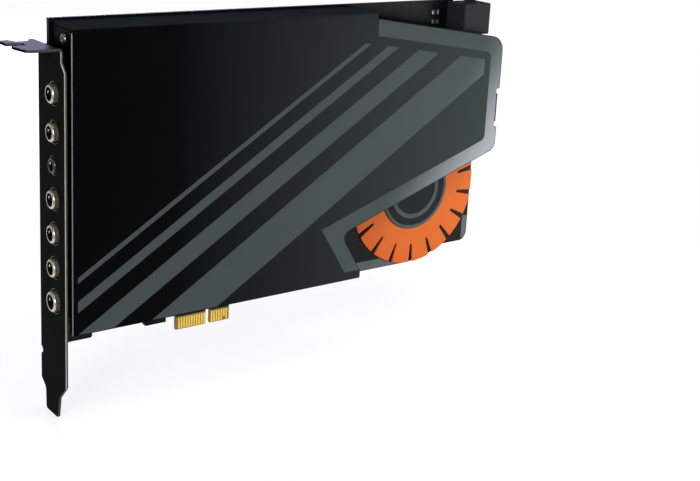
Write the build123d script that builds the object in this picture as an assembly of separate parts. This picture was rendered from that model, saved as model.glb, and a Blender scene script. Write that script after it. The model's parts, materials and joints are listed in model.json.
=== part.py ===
from build123d import *
import math
import os

os.makedirs("parts", exist_ok=True)

# Frame: origin at the middle of the key notch, on the lower edge of the tongue, in the board's mid-plane.
# X runs along the card away from the bracket, Y points to the solder side, Z points to the top edge.

# Board
board_thick = 1.57
board_left = -58.4
board_right = 120.0
board_over_tab = 7.28
board_base = 7.9
ear_level = 3.9
near_ear_end = -44.0
far_ear_start = -24.9
far_ear_end = -16.6
corner_level = 12.7
corner_round = 3.6
ear_round = 0.8
step_x = 104.0
top_step = 1.6

# Edge connector, x1
tongue_near = 11.65
tongue_far = 7.65
key_width = 1.9
key_height = 7.0
bevel_height = 0.5
bevel_depth = 0.3
contact_pitch = 1.0
contact_width = 0.7
contact_low = 0.45
contact_high = 4.4
contact_short = 1.1
contact_plating = 0.05
near_contacts = 11
far_contacts = 7
first_contact = 1.5

# Bracket
sheet = 0.86
bracket_outer = -60.2
bracket_height = 120.02
bracket_width = 18.42
bracket_back = 2.815
tip_level = -17.2
tab_depth = 11.43
tab_width = 19.05
neck_set = 2.54
neck_drop = 4.4
jog_drop = 2.7
bracket_bend = 0.5
shoulder_level = -4.8
tongue_top = -10.0
tongue_width = 10.19
tongue_back = -0.5
tongue_taper = 1.2
back_step_level = -7.6
slot_width = 4.42
slot_length = 5.0
slot_middle = -2.2
tab_corner = 1.2
tab_corner_run = 6.8
tab_front_round = 1.6
tab_round = 0.8
recess_start = 3.2
recess_near_slope = 1.2
recess_floor = 3.6
recess_far_slope = 1.8
back_recess = 3.3
flare_height = 2.4
flare_rise = 1.0
bracket_round = 0.6
tip_round = 0.8
tip_back_round = 1.0
tip_back_taper = 0.3
step_drop = 2.4
step_round = 2.6
nick_level = 2.0
nick_round = 1.2
ear_length = 8.6
ear_tall = 6.0
lower_ear = 12.0
upper_ear_drop = 3.82
ear_screw_in = 5.4

# Screws, M3
screw_shank = 1.4
screw_hole = 1.6
screw_head = 2.7
screw_head_tall = 1.7
screw_slot = 0.7
screw_slot_long = 2.6
screw_slot_depth = 0.9
screw_head_chamfer = 0.5
screw_tip = 0.4

# Cover
cover_sheet = 0.8
cover_gap = 14.45
cover_left = -57.5
cover_right = 117.9
cover_set_down = 1.0
cover_bottom = 12.05
cover_bend = 0.6
flange_end = 56.9
slope_drop = 2.2
slope_fall = 9.85
top_round = 6.0
side_round = 4.2
cut_right_level = 54.1
cut_corner_x = 45.9
cut_corner_z = 29.8
cut_corner_round = 3.0
foot_x = 55.2
foot_level = 15.0
left_lip_depth = 2.0
left_full_drop = 13.8
left_slit = 0.3
fold_low = 64.75
fold_high = 75.6
relief_round = 1.0
foot_round = 0.6

# Cover fixings
standoff_across = 5.0
standoff_bore_depth = 6.0
standoff_drop = 6.5
upper_standoffs = (-42.0, 46.0)
lower_standoffs = (-38.0, 34.0)
lower_standoff_level = 17.5
side_standoff_in = 7.0
side_standoff_level = 72.0
block_length = 5.5
block_tall = 5.6
block_depth = 12.4
block_gap = 0.5
side_axis_drop = 2.6
side_axis_depth = 9.6
side_head = 1.75
side_head_tall = 0.9
side_shank = 1.1
side_reach = 4.2
side_clear = 0.2
side_slot = 0.5
side_slot_long = 2.0
side_slot_depth = 0.45
side_head_chamfer = 0.35

# Jacks
jack_axis_depth = 7.3
small_axis_depth = 6.7
jack_bore = 1.8
jack_bore_length = 13.0
jack_low = 22.1
top_jack_drop = 7.32
lower_step_share = 0.1673
small_step_share = 0.1591
jack_house_length = 13.0
jack_house_gap = 1.5
jack_house_tall = 12.0
sleeve_outer = 2.95
low_sleeve_outer = 3.3
sleeve_stand = 1.6
small_sleeve_outer = 2.6
small_sleeve_stand = 0.8
sleeve_clear = 0.65
small_sleeve_clear = 0.35
sleeve_chamfer = 0.4
terminal_thick = 0.4
terminal_wide = 1.2
terminal_tall = 5.0
terminal_spread = 2.6

# Trim ring and hub
hub_x = 90.5
hub_z = 37.7
ring_outer = 29.6
ring_inner = 15.8
ring_thick = 0.8
ring_edge_gap = 0.3
cut_over = 1.0
ring_slots = 18
ring_slot_turn = 10.6
slot_inner_reach = 22.7
slot_inner_half = 0.55
slot_outer_half = 1.15
hub_outer = 15.6
hub_thick = 1.0
hub_groove_depth = 0.4
hub_rim_wide = 1.25
hub_ring_stand = 0.3
inner_ring_outer = 11.6
inner_ring_wide = 1.8

# Power inlet
power_x = 107.7
power_wide = 13.0
power_deep = 10.0
power_drop = 12.0
power_set_down = 0.5
power_pitch = 4.2
power_well = 3.2
power_well_depth = 8.6
power_pin = 1.0
power_pin_in = 1.5
power_lead_drop = 1.8
power_round = 0.5
power_key_wide = 4.8
power_key_thick = 1.0
power_key_tall = 1.5
power_key_round = 0.4

# Panel header
header_x = 115.2
header_gap = 2.65
header_pitch = 2.54
header_pairs = 5
header_pin = 0.64
header_pin_tall = 8.6

# Flat chips
processor_x = 8.0
processor_share = 0.431
processor_size = 14.0
processor_tall = 1.4
processor_lead_count = 14
bridge_x = 4.0
bridge_share = 0.183
bridge_size = 12.0
bridge_tall = 1.2
bridge_lead_count = 12
square_chip_pitch = 0.9
converter_x = 2.0
converter_share = 0.769
converter_long = 10.2
converter_wide = 5.3
converter_tall = 1.7
converter_lead_count = 10
converter_pitch = 0.95
amplifier_x = 2.0
amplifier_share = 0.63
amplifier_long = 12.0
amplifier_wide = 7.5
amplifier_tall = 2.3
amplifier_lead_count = 9
amplifier_pitch = 1.27
lead_reach = 1.0
lead_tall = 0.5
lead_share = 0.45

# Amplifier sockets
socket_columns = (-36.0, -18.0)
socket_row_shares = (0.61, 0.76)
socket_long = 10.4
socket_wide = 9.8
socket_tall = 4.0
socket_window_long = 6.8
socket_window_wide = 3.0
op_amp_long = 9.6
op_amp_wide = 6.4
op_amp_tall = 3.4

# Capacitors
big_can = 4.0
small_can = 3.15
can_top = 12.0
can_base = 1.2
audio_can_columns = (22.0, 32.0, 42.0)
audio_can_shares = (0.7, 0.81)
bus_can_columns = (21.0, 29.0, 37.0)
bus_can_shares = (0.193, 0.283)
supply_can_columns = (58.0, 68.0, 78.0)
supply_can_rise = 10.0
film_columns = (-22.0, -12.0)
film_low_share = 0.173
film_step_share = 0.0646
film_row_count = 5
film_long = 7.2
film_wide = 4.6
film_tall = 8.5

# Supply and switching parts
relay_x = -36.0
relay_shares = (0.213, 0.342, 0.471)
relay_long = 14.0
relay_wide = 9.0
relay_tall = 5.5
oscillator_x = 27.0
oscillator_shares = (0.471, 0.551)
oscillator_long = 11.4
oscillator_wide = 4.8
oscillator_tall = 3.6
regulator_x = 86.0
regulator_rises = (8.0, 18.0)
regulator_long = 6.5
regulator_wide = 6.1
regulator_tall = 2.3
regulator_tab_long = 3.5
regulator_tab_wide = 5.4
regulator_tab_thick = 0.5
inductor_x = 99.0
inductor_rises = (6.0, 12.2)
inductor_size = 6.0
inductor_tall = 4.0
inductor_corner = 1.2

# Chip capacitors and resistors
chip_cap_long = 2.0
chip_cap_wide = 1.25
chip_cap_tall = 0.9
audio_cap_first = -3.0
audio_cap_step = 3.0
audio_cap_count = 4
audio_cap_shares = (0.546, 0.7, 0.839)
bus_cap_step = 4.0
upper_bus_first = -2.0
upper_bus_count = 4
upper_bus_share = 0.302
lower_bus_first = -6.0
lower_bus_count = 5
lower_bus_share = 0.069
sense_x = 95.1
sense_drops = (8.0, 4.4)
sense_long = 3.2
sense_wide = 1.6
sense_tall = 0.6
chip_ohm_columns = (48.0, 52.0, 56.0)
chip_ohm_shares = (0.41, 0.45, 0.49, 0.53)
chip_ohm_long = 1.6
chip_ohm_wide = 0.8
chip_ohm_tall = 0.5

# Derived
board_front = -board_thick / 2
board_back = board_thick / 2
tongue_left = -key_width / 2 - tongue_near
tongue_right = key_width / 2 + tongue_far
bracket_inner = bracket_outer + sheet
bracket_front = bracket_back - bracket_width
neck_front = bracket_front + neck_set
tab_top = tip_level + bracket_height
tab_end = bracket_outer - tab_depth
neck_level = tab_top - neck_drop
jog_level = neck_level - jog_drop
ear_heights = (lower_ear, tab_top - upper_ear_drop)
board_top = tab_top + board_over_tab
cover_top = board_top - cover_set_down
slope_start = cover_top - slope_drop
slope_end = slope_start - slope_fall
left_full_level = cover_top - left_full_drop
power_bottom = board_top - power_drop
power_top = board_top - power_set_down
power_pin_high = power_top - power_pin_in
standoff_spots = [(x, cover_top - standoff_drop) for x in upper_standoffs]
standoff_spots = standoff_spots + [(x, lower_standoff_level) for x in lower_standoffs]
standoff_spots = standoff_spots + [(cover_right - side_standoff_in, side_standoff_level)]
cover_front = board_front - cover_gap
cover_inside = cover_front + cover_sheet
cover_fold = cover_bend + cover_sheet
block_top = cover_top - cover_sheet - block_gap
field_height = board_top - board_base
ring_top = hub_z + ring_outer
jack_axis = board_front - jack_axis_depth
small_axis = board_front - small_axis_depth
top_jack = jog_level - top_jack_drop
jack_pitch = (top_jack - jack_low) * lower_step_share
small_jack_step = (top_jack - jack_low) * small_step_share
jack_house_wide = small_jack_step - jack_house_gap
small_jack = jack_low + 3 * jack_pitch + small_jack_step
second_jack = small_jack + small_jack_step
gold_jacks = [jack_low + i * jack_pitch for i in range(4)] + [second_jack, top_jack]
gold_outers = [low_sleeve_outer] + [sleeve_outer] * 5
jacks = [(jack_axis, z, outer, sleeve_stand) for z, outer in zip(gold_jacks, gold_outers)]
jacks = jacks + [(small_axis, small_jack, small_sleeve_outer, small_sleeve_stand)]
jack_inner = bracket_inner + jack_house_length


def block(x0, x1, y0, y1, z0, z1):
    return Pos(x0, y0, z0) * Box(x1 - x0, y1 - y0, z1 - z0, align=(Align.MIN, Align.MIN, Align.MIN))


def rod_y(x, z, radius, y0, y1):
    turned = Rot(-90, 0, 0) * Cylinder(radius, y1 - y0, align=(Align.CENTER, Align.CENTER, Align.MIN))
    return Pos(x, y0, z) * turned


def rod_x(y, z, radius, x0, x1):
    turned = Rot(0, 90, 0) * Cylinder(radius, x1 - x0, align=(Align.CENTER, Align.CENTER, Align.MIN))
    return Pos(x0, y, z) * turned


def rod_z(x, y, radius, z0, z1):
    return Pos(x, y, z0) * Cylinder(radius, z1 - z0, align=(Align.CENTER, Align.CENTER, Align.MIN))


def standing(face, y0, y1):
    # a flat outline drawn in X and Z, given depth from y0 to y1
    return extrude(Pos(0, y1, 0) * (Plane.XZ * face), y1 - y0)


def outline(points):
    return make_face(Polyline(*points, close=True))


def rounded(face, x, y, radius):
    corner = face.vertices().sort_by_distance((x, y, 0))[0]
    return fillet(corner, radius)


def keep(name, shapes):
    if not isinstance(shapes, (list, tuple)):
        shapes = [shapes]
    solids = []
    for shape in shapes:
        solids.extend(shape.solids())
    whole = solids[0] if len(solids) == 1 else Compound(children=solids)
    whole.label = name
    export_step(whole, "parts/" + name + ".step")


def make_board():
    points = [
        (board_left, ear_level),
        (near_ear_end, ear_level),
        (near_ear_end, board_base),
        (far_ear_start, board_base),
        (far_ear_start, ear_level),
        (far_ear_end, ear_level),
        (far_ear_end, board_base),
        (tongue_left, board_base),
        (tongue_left, 0),
        (tongue_right, 0),
        (tongue_right, board_base),
        (hub_x, board_base),
        (hub_x, corner_level),
        (board_right, corner_level),
        (board_right, board_top - top_step),
        (step_x, board_top - top_step),
        (step_x, board_top),
        (board_left, board_top),
    ]
    face = outline(points)
    face = rounded(face, near_ear_end, ear_level, ear_round)
    face = rounded(face, far_ear_start, ear_level, ear_round)
    face = rounded(face, board_right, corner_level, corner_round)
    face = face + Pos(hub_x, hub_z) * Circle(ring_outer)
    beyond = 2 * ring_outer
    face = face - Pos(board_right, hub_z) * Rectangle(beyond, beyond, align=(Align.MIN, Align.CENTER))
    key = Pos(0, 0) * Rectangle(key_width, key_height - key_width / 2, align=(Align.CENTER, Align.MIN))
    key = key + Pos(0, key_height - key_width / 2) * Circle(key_width / 2)
    face = face - key
    solid = standing(face, board_front, board_back)
    bevel = outline([(board_front, 0), (board_front + bevel_depth, 0), (board_front, bevel_height)])
    front_cut = extrude(Pos(tongue_left, 0, 0) * (Plane.YZ * bevel), tongue_right - tongue_left)
    solid = solid - front_cut - mirror(front_cut, Plane.XZ)
    for x, z in standoff_spots:
        solid = solid - rod_y(x, z, screw_hole, board_front, board_back)
    for z in ear_heights:
        solid = solid - rod_y(bracket_inner + ear_screw_in, z, screw_hole, board_front, board_back)
    keep("board", solid)


def make_edge_contacts():
    spots = [-first_contact - i * contact_pitch for i in range(near_contacts)]
    spots = spots + [first_contact + i * contact_pitch for i in range(far_contacts)]
    last_but_one = first_contact + (far_contacts - 2) * contact_pitch
    farthest = -first_contact - (near_contacts - 1) * contact_pitch
    fingers = []
    for x in spots:
        low_front = contact_low + (contact_short if x == last_but_one else 0)
        low_back = contact_low + (contact_short if x == farthest else 0)
        left = x - contact_width / 2
        right = x + contact_width / 2
        front = board_front - contact_plating
        back = board_back + contact_plating
        fingers.append(block(left, right, front, board_front, low_front, contact_high))
        fingers.append(block(left, right, board_back, back, low_back, contact_high))
    keep("edge_contacts", fingers)


def bracket_plate():
    fold = bracket_bend + sheet
    tongue_front = tongue_back - tongue_width
    points = [
        (bracket_back, tab_top - fold - flare_height),
        (neck_front + tab_width, tab_top - fold - flare_height + flare_rise),
        (neck_front + tab_width, tab_top - fold),
        (neck_front, tab_top - fold),
        (neck_front, neck_level),
        (bracket_front, jog_level),
        (bracket_front, shoulder_level),
        (tongue_front, tongue_top),
        (tongue_front + tongue_taper, tip_level),
        (tongue_back - tip_back_taper, tip_level),
        (tongue_back, back_step_level - step_drop),
        (bracket_back, back_step_level),
    ]
    face = outline(points)
    face = rounded(face, tongue_front + tongue_taper, tip_level, tip_round)
    face = rounded(face, tongue_back - tip_back_taper, tip_level, tip_back_round)
    face = rounded(face, tongue_back, back_step_level - step_drop, step_round)
    face = rounded(face, bracket_back, back_step_level, bracket_round)
    face = rounded(face, bracket_front, shoulder_level, bracket_round)
    face = rounded(face, bracket_front, jog_level, bracket_round)
    face = rounded(face, neck_front, neck_level, bracket_round)
    face = face - Pos(bracket_back, nick_level) * Circle(nick_round)
    return extrude(Pos(bracket_outer, 0, 0) * (Plane.YZ * face), sheet)


def bracket_tab():
    fold = bracket_bend + sheet
    tab_back = neck_front + tab_width
    tab_start = bracket_inner - fold
    slot_low = slot_middle - slot_width / 2
    recess_a = tab_end + recess_start
    recess_b = recess_a + recess_near_slope
    recess_c = recess_b + recess_floor
    recess_d = recess_c + recess_far_slope
    points = [
        (tab_start, neck_front),
        (tab_end + tab_corner, neck_front),
        (tab_end, neck_front + tab_corner_run),
        (tab_end, tab_back),
        (recess_a, tab_back),
        (recess_b, tab_back - back_recess),
        (recess_c, tab_back - back_recess),
        (recess_d, tab_back),
        (tab_start, tab_back),
    ]
    face = outline(points)
    face = rounded(face, tab_end + tab_corner, neck_front, tab_front_round)
    face = rounded(face, tab_end, neck_front + tab_corner_run, tab_round)
    face = rounded(face, recess_b, tab_back - back_recess, tab_round)
    face = rounded(face, recess_c, tab_back - back_recess, tab_round)
    face = rounded(face, recess_a, tab_back, bracket_round)
    face = rounded(face, tab_end, tab_back, tab_round)
    slot_straight = slot_length - slot_width / 2
    slot = Pos(tab_end, slot_low) * Rectangle(slot_straight, slot_width, align=(Align.MIN, Align.MIN))
    slot = slot + Pos(tab_end + slot_straight, slot_middle) * Circle(slot_width / 2)
    flat = extrude(Pos(0, 0, tab_top - sheet) * (face - slot), sheet)
    bend_x = bracket_outer - bracket_bend
    bend_z = tab_top - fold
    whole = rod_y(bend_x, bend_z, fold, neck_front, tab_back)
    hollow = rod_y(bend_x, bend_z, bracket_bend, neck_front, tab_back)
    corner = block(bend_x, bend_x + fold, neck_front, tab_back, bend_z, bend_z + fold)
    return flat + ((whole - hollow) & corner)


def make_bracket():
    solid = bracket_plate() + bracket_tab()
    for z in ear_heights:
        ear = block(bracket_inner, bracket_inner + ear_length, board_back, board_back + sheet,
                    z - ear_tall / 2, z + ear_tall / 2)
        tapped = rod_y(bracket_inner + ear_screw_in, z, screw_shank, board_back, board_back + sheet)
        solid = solid + (ear - tapped)
    for y, z, outer, stand in jacks:
        clear = small_sleeve_clear if outer == small_sleeve_outer else sleeve_clear
        solid = solid - rod_x(y, z, outer + clear, bracket_outer, bracket_inner)
    keep("bracket", solid)


def screw_along_y(x, z, head_face, shank_end):
    # head_face is where the head rests; the head lies on the far side from shank_end
    into = 1 if shank_end > head_face else -1
    head_out = head_face - into * screw_head_tall
    head = rod_y(x, z, screw_head, min(head_face, head_out), max(head_face, head_out))
    rim = head.edges().filter_by(GeomType.CIRCLE).sort_by(Axis.Y)[0 if into > 0 else -1]
    head = chamfer(rim, screw_head_chamfer)
    shank = rod_y(x, z, screw_shank, min(head_face, shank_end), max(head_face, shank_end))
    slot_in = head_out + into * screw_slot_depth
    arms = []
    for wide, tall in ((screw_slot_long, screw_slot), (screw_slot, screw_slot_long)):
        arms.append(block(x - wide / 2, x + wide / 2, min(head_out, slot_in), max(head_out, slot_in),
                          z - tall / 2, z + tall / 2))
    return head + shank - arms[0] - arms[1]


def make_screws():
    ear_screws = []
    for z in ear_heights:
        end = board_back + sheet + screw_tip
        ear_screws.append(screw_along_y(bracket_inner + ear_screw_in, z, board_front, end))
    keep("bracket_screws", ear_screws)
    cover_screws = []
    for x, z in standoff_spots:
        end = board_front - standoff_bore_depth + screw_tip
        cover_screws.append(screw_along_y(x, z, board_back, end))
    keep("cover_screws", cover_screws)


def make_standoffs():
    posts = []
    for x, z in standoff_spots:
        face = Pos(x, z) * RegularPolygon(standoff_across / 2, 6, major_radius=False)
        post = standing(face, cover_inside, board_front)
        posts.append(post - rod_y(x, z, screw_shank, board_front - standoff_bore_depth, board_front))
    keep("cover_standoffs", posts)


def cover_plate():
    points = [
        (cover_left + cover_fold, cover_bottom),
        (foot_x, cover_bottom),
        (foot_x, foot_level),
        (cut_corner_x, cut_corner_z),
        (cover_right, cut_right_level),
        (cover_right, slope_end),
        (flange_end, slope_start),
        (flange_end, cover_top - cover_fold),
        (cover_left + cover_fold, cover_top - cover_fold),
    ]
    face = outline(points)
    face = rounded(face, cut_corner_x, cut_corner_z, cut_corner_round)
    face = rounded(face, cover_right, cut_right_level, side_round)
    face = rounded(face, cover_right, slope_end, top_round)
    face = rounded(face, foot_x, cover_bottom, foot_round)
    for z in (fold_low - relief_round, fold_high + relief_round):
        face = face - Pos(cover_right - cover_fold, z) * Circle(relief_round)
        face = face - Pos(cover_right, z) * Rectangle(2 * cover_fold, 2 * relief_round)
    middle = (fold_low + fold_high) / 2
    face = face - Pos(cover_right, middle) * Rectangle(2 * cover_fold, fold_high - fold_low)
    return standing(face, cover_front, cover_inside)


def cover_top_flange():
    bend_y = cover_front + cover_fold
    bend_z = cover_top - cover_fold
    tube = rod_x(bend_y, bend_z, cover_fold, cover_left, flange_end)
    tube = tube - rod_x(bend_y, bend_z, cover_bend, cover_left, flange_end)
    bend = tube & block(cover_left, flange_end, cover_front, bend_y, bend_z, cover_top)
    flat = block(cover_left, flange_end, bend_y, board_front, cover_top - cover_sheet, cover_top)
    return bend + flat


def cover_left_flange():
    bend_x = cover_left + cover_fold
    bend_y = cover_front + cover_fold
    top = cover_top - cover_fold - left_slit
    tube = rod_z(bend_x, bend_y, cover_fold, cover_bottom, top)
    tube = tube - rod_z(bend_x, bend_y, cover_bend, cover_bottom, top)
    bend = tube & block(cover_left, bend_x, cover_front, bend_y, cover_bottom, top)
    edge = cover_left + cover_sheet
    lip = block(cover_left, edge, bend_y, cover_front + left_lip_depth, cover_bottom, left_full_level)
    full = block(cover_left, edge, bend_y, board_front, left_full_level, cover_top - cover_sheet - left_slit)
    return bend + lip + full


def cover_side_fold():
    bend_x = cover_right - cover_fold
    bend_y = cover_front + cover_fold
    tube = rod_z(bend_x, bend_y, cover_fold, fold_low, fold_high)
    tube = tube - rod_z(bend_x, bend_y, cover_bend, fold_low, fold_high)
    bend = tube & block(bend_x, cover_right, cover_front, bend_y, fold_low, fold_high)
    flat = block(cover_right - cover_sheet, cover_right, bend_y, board_front, fold_low, fold_high)
    return bend + flat


def make_cover():
    solid = cover_plate() + cover_top_flange() + cover_left_flange() + cover_side_fold()
    side_y = board_front - side_axis_depth
    side_z = block_top - side_axis_drop
    solid = solid - rod_x(side_y, side_z, side_shank + side_clear, cover_left, cover_left + cover_sheet)
    keep("cover", solid)
    near = cover_left + cover_sheet
    deep = board_front - block_depth
    post = block(near, near + block_length, deep, board_front, block_top - block_tall, block_top)
    post = post - rod_x(side_y, side_z, side_shank, near, near + side_reach)
    keep("side_block", post)
    head = rod_x(side_y, side_z, side_head, cover_left - side_head_tall, cover_left)
    head = chamfer(head.edges().filter_by(GeomType.CIRCLE).sort_by(Axis.X)[0], side_head_chamfer)
    shank = rod_x(side_y, side_z, side_shank, cover_left, near + side_reach - screw_tip)
    slot_in = cover_left - side_head_tall + side_slot_depth
    for wide, tall in ((side_slot, side_slot_long), (side_slot_long, side_slot)):
        head = head - block(cover_left - side_head_tall, slot_in, side_y - wide / 2, side_y + wide / 2,
                            side_z - tall / 2, side_z + tall / 2)
    keep("side_screw", head + shank)


def jack_sleeve(y, z, outer, stand):
    mouth = bracket_outer - stand
    end = mouth + jack_bore_length
    tube = rod_x(y, z, outer, mouth, end)
    tube = chamfer(tube.edges().filter_by(GeomType.CIRCLE).sort_by(Axis.X)[0], sleeve_chamfer)
    return tube - rod_x(y, z, jack_bore, mouth, end)


def make_jacks():
    sleeves = [jack_sleeve(*jack) for jack in jacks]
    keep("jack_sleeves", sleeves[:-1])
    keep("small_jack_sleeve", sleeves[-1])
    houses = []
    legs = []
    for y, z, outer, stand in jacks:
        sleeve_end = bracket_outer - stand + jack_bore_length
        house = block(bracket_inner, jack_inner, board_front - jack_house_tall, board_front,
                      z - jack_house_wide / 2, z + jack_house_wide / 2)
        house = house - rod_x(y, z, outer, bracket_inner, sleeve_end)
        houses.append(house)
        for side in (-terminal_spread, terminal_spread):
            low = z + side - terminal_wide / 2
            front = board_front - terminal_tall
            tip = jack_inner + terminal_thick
            legs.append(block(jack_inner, tip, front, board_front, low, low + terminal_wide))
    keep("jack_housings", houses)
    keep("jack_terminals", legs)


def make_trim():
    front = board_front - ring_thick
    face = Pos(hub_x, hub_z) * (Circle(ring_outer) - Circle(ring_inner))
    slot = outline([
        (slot_inner_reach, -slot_inner_half),
        (ring_outer + cut_over, -slot_outer_half),
        (ring_outer + cut_over, slot_outer_half),
        (slot_inner_reach, slot_inner_half),
    ])
    slot = slot + Pos(slot_inner_reach, 0) * Circle(slot_inner_half)
    for i in range(ring_slots):
        face = face - Pos(hub_x, hub_z) * (Rot(0, 0, ring_slot_turn + i * 360 / ring_slots) * slot)
    edge = board_right - ring_edge_gap
    beyond = 2 * (ring_outer + cut_over)
    face = face - Pos(edge, hub_z) * Rectangle(beyond, beyond, align=(Align.MIN, Align.CENTER))
    keep("trim_ring", standing(face, front, board_front))
    hub_front = board_front - hub_thick
    groove_back = hub_front + hub_groove_depth
    hub = rod_y(hub_x, hub_z, hub_outer, hub_front, board_front)
    rings = []
    for outer, wide in ((hub_outer, hub_rim_wide), (inner_ring_outer, inner_ring_wide)):
        inner = outer - wide
        tall = hub_front - hub_ring_stand
        ring = rod_y(hub_x, hub_z, outer, tall, groove_back) - rod_y(hub_x, hub_z, inner, tall, groove_back)
        hub = hub - ring
        rings.append(ring)
    keep("hub_disc", hub)
    keep("hub_rings", rings)


def make_power():
    left = power_x - power_wide / 2
    right = power_x + power_wide / 2
    front = board_front - power_deep
    body = block(left, right, front, board_front, power_bottom, power_top)
    body = fillet(body.edges().filter_by(Axis.Z).sort_by(Axis.Y)[0:2], power_round)
    middle = board_front - power_deep / 2
    pins = []
    for column in (-1, 0, 1):
        for row in (-0.5, 0.5):
            x = power_x + column * power_pitch
            y = middle + row * power_pitch
            half = power_well / 2
            floor = power_top - power_well_depth
            body = body - block(x - half, x + half, y - half, y + half, floor, power_top)
            thick = power_pin / 2
            low = power_bottom - power_lead_drop * (1.5 - row)
            pin = block(x - thick, x + thick, y - thick, y + thick, low, power_pin_high)
            foot = block(x - thick, x + thick, y - thick, board_front, low, low + power_pin)
            body = body - pin
            pins.append(pin + foot)
    left = power_x - power_key_wide / 2
    near = middle - power_key_thick / 2
    key_top = power_top + power_key_tall
    key = block(left, left + power_key_wide, near, near + power_key_thick, power_top, key_top)
    key = fillet(key.edges().filter_by(Axis.Y).sort_by(Axis.Z)[2:4], power_key_round)
    keep("power_header", body + key)
    keep("power_pins", pins)


def level(share):
    # a height on the board, as a share of its field
    return board_base + share * field_height


def on_board(x, z, wide, high, tall, lift=0.0):
    near = board_front - lift
    return block(x - wide / 2, x + wide / 2, near - tall, near, z - high / 2, z + high / 2)


def leads_two_sides(x, z, span, count, pitch):
    legs = []
    for i in range(count):
        along = x + (i - (count - 1) / 2) * pitch
        for side in (-1, 1):
            middle = z + side * (span + lead_reach) / 2
            legs.append(on_board(along, middle, pitch * lead_share, lead_reach, lead_tall))
    return legs


def leads_four_sides(x, z, size, count, pitch):
    legs = leads_two_sides(x, z, size, count, pitch)
    for i in range(count):
        along = z + (i - (count - 1) / 2) * pitch
        for side in (-1, 1):
            middle = x + side * (size + lead_reach) / 2
            legs.append(on_board(middle, along, lead_reach, pitch * lead_share, lead_tall))
    return legs


def make_chips():
    processor_z = level(processor_share)
    bridge_z = level(bridge_share)
    converter_z = level(converter_share)
    amplifier_z = level(amplifier_share)
    processor = on_board(processor_x, processor_z, processor_size, processor_size, processor_tall)
    keep("audio_processor", processor)
    legs = leads_four_sides(processor_x, processor_z, processor_size, processor_lead_count, square_chip_pitch)
    keep("bus_bridge", on_board(bridge_x, bridge_z, bridge_size, bridge_size, bridge_tall))
    legs += leads_four_sides(bridge_x, bridge_z, bridge_size, bridge_lead_count, square_chip_pitch)
    keep("converter_chip", on_board(converter_x, converter_z, converter_long, converter_wide, converter_tall))
    legs += leads_two_sides(converter_x, converter_z, converter_wide, converter_lead_count, converter_pitch)
    amplifier = on_board(amplifier_x, amplifier_z, amplifier_long, amplifier_wide, amplifier_tall)
    keep("headphone_amplifier", amplifier)
    legs += leads_two_sides(amplifier_x, amplifier_z, amplifier_wide, amplifier_lead_count, amplifier_pitch)
    keep("chip_leads", legs)


def make_op_amps():
    sockets = []
    amps = []
    for x in socket_columns:
        for z in map(level, socket_row_shares):
            base = on_board(x, z, socket_long, socket_wide, socket_tall)
            sockets.append(base - on_board(x, z, socket_window_long, socket_window_wide, socket_tall))
            amps.append(on_board(x, z, op_amp_long, op_amp_wide, op_amp_tall, socket_tall))
    keep("op_amp_sockets", sockets)
    keep("op_amps", amps)


def make_capacitors():
    spots = [(x, z, big_can) for x in audio_can_columns for z in map(level, audio_can_shares)]
    spots = spots + [(x, z, small_can) for x in bus_can_columns for z in map(level, bus_can_shares)]
    spots = spots + [(x, ring_top + supply_can_rise, big_can) for x in supply_can_columns]
    cans = []
    bases = []
    for x, z, radius in spots:
        bases.append(on_board(x, z, 2 * radius, 2 * radius, can_base))
        cans.append(rod_y(x, z, radius, board_front - can_top, board_front - can_base))
    keep("electrolytic_capacitors", cans)
    keep("capacitor_bases", bases)
    boxes = []
    for x in film_columns:
        for i in range(film_row_count):
            z = level(film_low_share + i * film_step_share)
            boxes.append(on_board(x, z, film_long, film_wide, film_tall))
    keep("film_capacitors", boxes)


def make_supply():
    relay_levels = [level(share) for share in relay_shares]
    keep("relays", [on_board(relay_x, z, relay_long, relay_wide, relay_tall) for z in relay_levels])
    crystals = []
    for z in map(level, oscillator_shares):
        crystals.append(on_board(oscillator_x, z, oscillator_long, oscillator_wide, oscillator_tall))
    keep("oscillators", crystals)
    bodies = []
    tabs = []
    tab_x = regulator_x + (regulator_long + regulator_tab_long) / 2
    for rise in regulator_rises:
        z = ring_top + rise
        bodies.append(on_board(regulator_x, z, regulator_long, regulator_wide, regulator_tall))
        tabs.append(on_board(tab_x, z, regulator_tab_long, regulator_tab_wide, regulator_tab_thick))
    keep("regulators", bodies)
    keep("regulator_tabs", tabs)
    chokes = []
    for rise in inductor_rises:
        choke = on_board(inductor_x, ring_top + rise, inductor_size, inductor_size, inductor_tall)
        chokes.append(chamfer(choke.edges().filter_by(Axis.Y), inductor_corner))
    keep("inductors", chokes)


def row_of_caps(first, count, step, z):
    return [on_board(first + i * step, z, chip_cap_long, chip_cap_wide, chip_cap_tall) for i in range(count)]


def make_chip_parts():
    caps = []
    for z in map(level, audio_cap_shares):
        caps = caps + row_of_caps(audio_cap_first, audio_cap_count, audio_cap_step, z)
    caps = caps + row_of_caps(upper_bus_first, upper_bus_count, bus_cap_step, level(upper_bus_share))
    caps = caps + row_of_caps(lower_bus_first, lower_bus_count, bus_cap_step, level(lower_bus_share))
    keep("chip_capacitors", caps)
    ohms = [on_board(sense_x, board_top - drop, sense_long, sense_wide, sense_tall) for drop in sense_drops]
    for x in chip_ohm_columns:
        for z in map(level, chip_ohm_shares):
            ohms.append(on_board(x, z, chip_ohm_long, chip_ohm_wide, chip_ohm_tall))
    keep("chip_resistors", ohms)


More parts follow.
